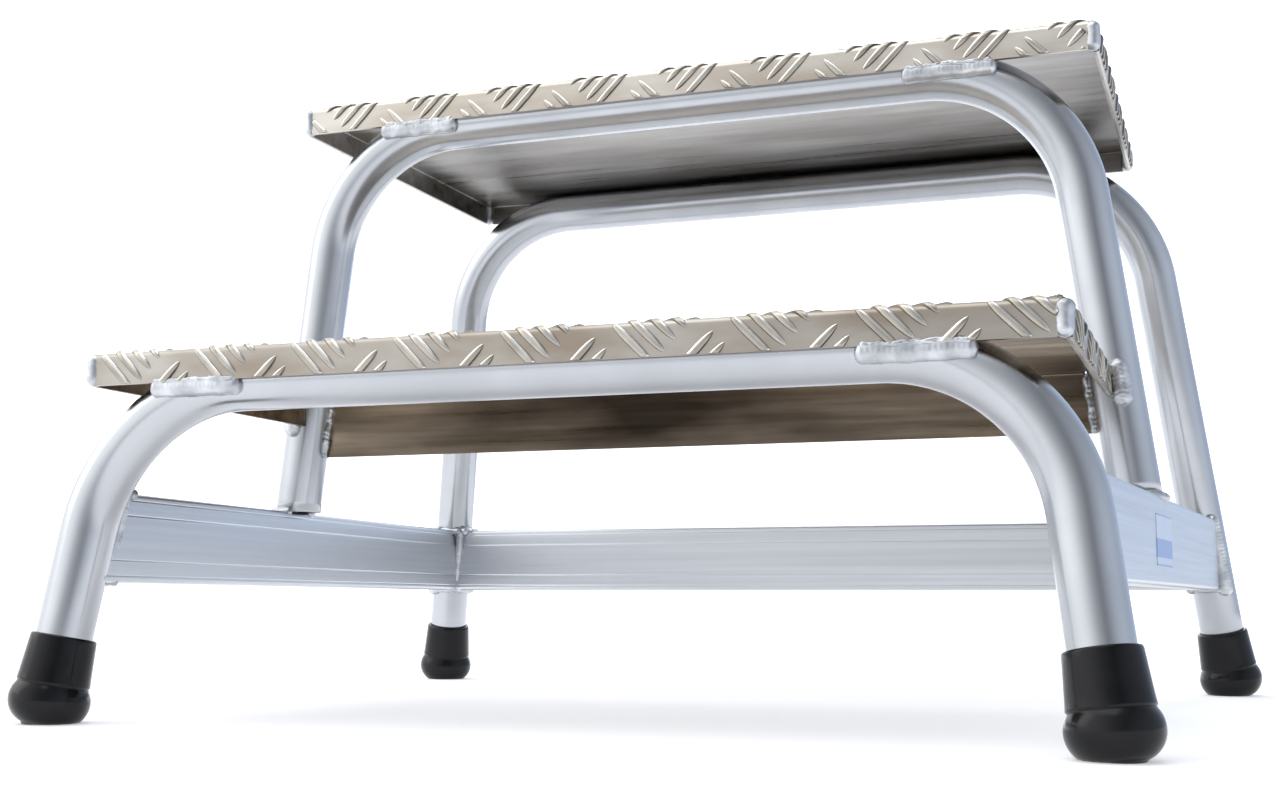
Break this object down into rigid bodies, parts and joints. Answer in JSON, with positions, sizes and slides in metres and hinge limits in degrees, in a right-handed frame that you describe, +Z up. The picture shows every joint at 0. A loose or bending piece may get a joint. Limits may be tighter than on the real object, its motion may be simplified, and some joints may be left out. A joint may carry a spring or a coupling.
{
  "type": "mounting block",
  "caption": "Free-standing two-step mounting block: bent tube hoops, flat rails, ribbed tread-plate steps with turned-down edges, and rubber feet.",
  "frame": {"origin": "middle of the footprint's bounding box, on the floor", "axes": "+X to the user's right when facing the steps, +Y from the lower step towards the upper step, +Z up"},
  "size_m": [0.675, 0.589, 0.4],
  "materials": {
    "tube_aluminium": "satin extruded tube",
    "rail_aluminium": "satin extruded flat section with fine lengthwise grooves",
    "plate_aluminium": "rolled five-bar tread plate",
    "weld_metal": "rippled weld beads",
    "black_rubber": "moulded, slightly glossy",
    "plated_steel": "zinc plated",
    "label_film": "blank printed film"
  },
  "bodies": {
    "root": {"blank_label": "label_film", "foot_disc_front_left": "plated_steel", "foot_disc_front_right": "plated_steel", "foot_disc_rear_left": "plated_steel", "foot_disc_rear_right": "plated_steel", "foot_front_left": "black_rubber", "foot_front_right": "black_rubber", "foot_rear_left": "black_rubber", "foot_rear_right": "black_rubber", "front_hoop": "tube_aluminium", "lower_tread": "plate_aluminium", "middle_hoop": "tube_aluminium", "rail_left": "rail_aluminium", "rail_rear": "rail_aluminium", "rail_right": "rail_aluminium", "rear_hoop": "tube_aluminium", "upper_tread": "plate_aluminium", "weld_lower_back_left": "weld_metal", "weld_lower_back_right": "weld_metal", "weld_lower_corner_left": "weld_metal", "weld_lower_corner_right": "weld_metal", "weld_lower_lip_left": "weld_metal", "weld_lower_lip_right": "weld_metal", "weld_lower_side_left": "weld_metal", "weld_lower_side_right": "weld_metal", "weld_middle_leg_left": "weld_metal", "weld_middle_leg_right": "weld_metal", "weld_rail_back_left": "weld_metal", "weld_rail_back_right": "weld_metal", "weld_rail_front_left": "weld_metal", "weld_rail_front_right": "weld_metal", "weld_upper_back_corner_left": "weld_metal", "weld_upper_back_corner_right": "weld_metal", "weld_upper_back_left": "weld_metal", "weld_upper_back_right": "weld_metal", "weld_upper_front_corner_left": "weld_metal", "weld_upper_front_corner_right": "weld_metal", "weld_upper_lip_left": "weld_metal", "weld_upper_lip_right": "weld_metal"}
  },
  "joints": []
}
